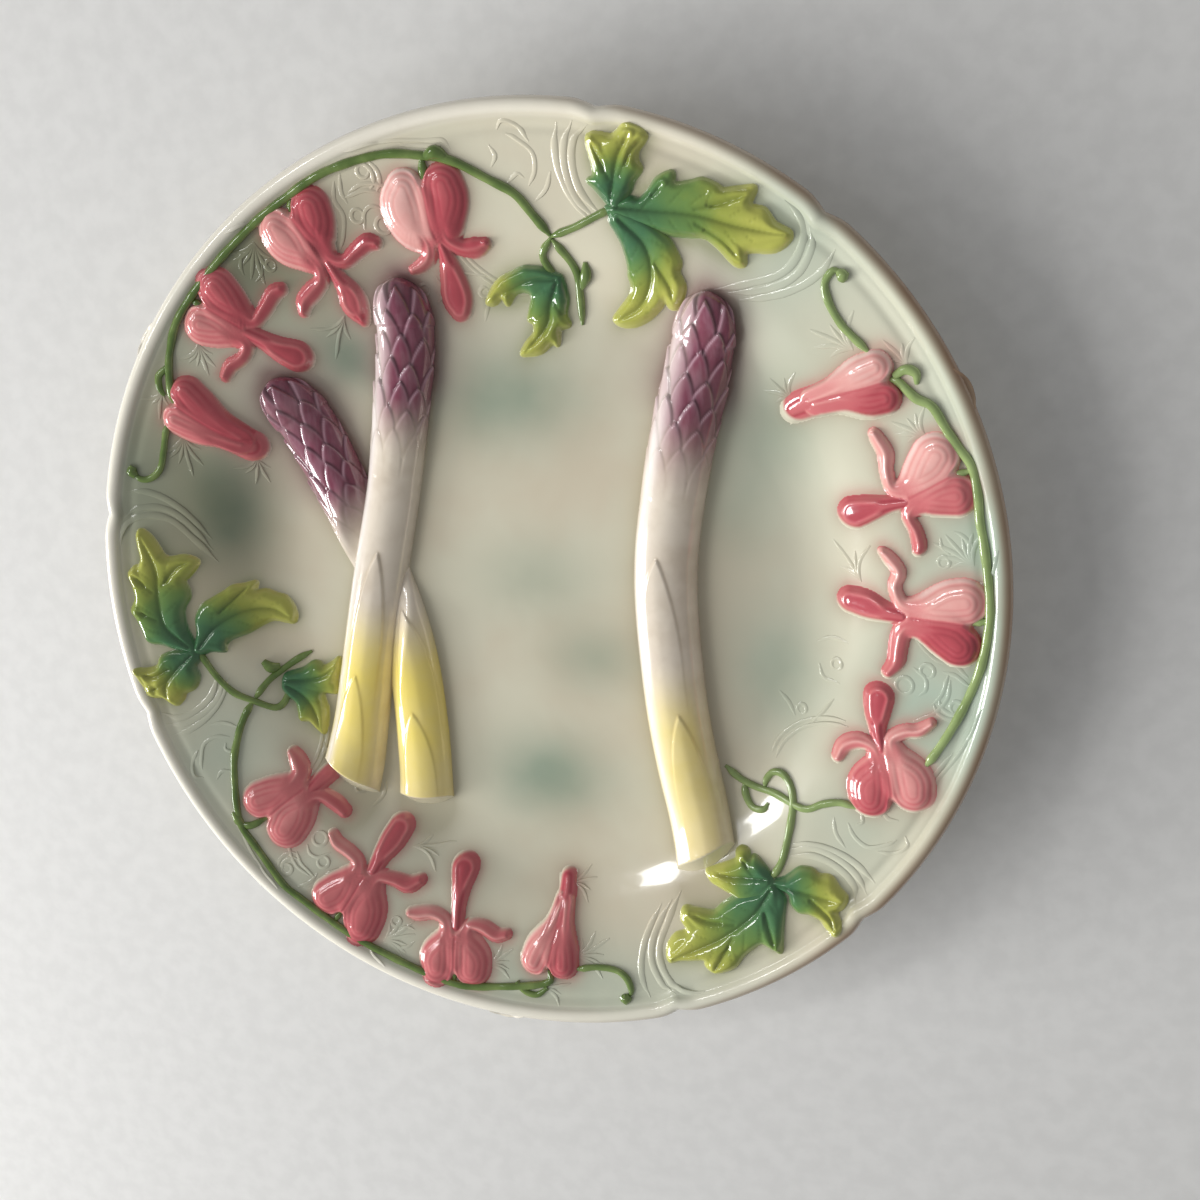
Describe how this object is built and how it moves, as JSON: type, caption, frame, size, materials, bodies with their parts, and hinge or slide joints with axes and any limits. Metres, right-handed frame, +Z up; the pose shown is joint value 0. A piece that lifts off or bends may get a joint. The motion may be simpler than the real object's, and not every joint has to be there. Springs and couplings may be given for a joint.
{
  "type": "asparagus plate",
  "caption": "Round glazed earthenware plate with raised asparagus spears in its well and flower sprays, leaves and scrolls on its rim.",
  "frame": {"origin": "centre of the foot ring's resting plane", "axes": "+Z up out of the well, +Y towards the top of the design as the plate is displayed, +X to its right"},
  "size_m": [0.24, 0.24, 0.0278],
  "materials": {
    "cream_glaze": "glossy",
    "spear_glaze": "glossy",
    "pink_glaze": "glossy",
    "leaf_glaze": "glossy",
    "stem_glaze": "glossy"
  },
  "bodies": {
    "root": {"left_leaflet_inner": "leaf_glaze", "left_leaflet_low": "leaf_glaze", "left_leaflet_top": "leaf_glaze", "left_scroll_left": "cream_glaze", "left_scroll_right": "cream_glaze", "left_small_leaf": "leaf_glaze", "left_stem": "stem_glaze", "lower_bud": "pink_glaze", "lower_flower_1": "pink_glaze", "lower_flower_2": "pink_glaze", "lower_flower_3": "pink_glaze", "lower_leaflet_inner": "leaf_glaze", "lower_leaflet_side": "leaf_glaze", "lower_leaflet_top": "leaf_glaze", "lower_scroll_left": "cream_glaze", "lower_scroll_right": "cream_glaze", "lower_stem": "stem_glaze", "lower_tendril": "stem_glaze", "lower_vine": "stem_glaze", "plate_body": "cream_glaze", "right_bud": "pink_glaze", "right_flower_1": "pink_glaze", "right_flower_2": "pink_glaze", "right_flower_3": "pink_glaze", "right_tendril": "stem_glaze", "right_vine": "stem_glaze", "spear_left_back": "spear_glaze", "spear_left_front": "spear_glaze", "spear_right": "spear_glaze", "upper_bud": "pink_glaze", "upper_flower_1": "pink_glaze", "upper_flower_2": "pink_glaze", "upper_flower_3": "pink_glaze", "upper_leaflet_inner": "leaf_glaze", "upper_leaflet_side": "leaf_glaze", "upper_leaflet_top": "leaf_glaze", "upper_scroll_left": "cream_glaze", "upper_scroll_right": "cream_glaze", "upper_small_leaf": "leaf_glaze", "upper_stem": "stem_glaze", "upper_tendril": "stem_glaze", "upper_vine": "stem_glaze"}
  },
  "joints": []
}
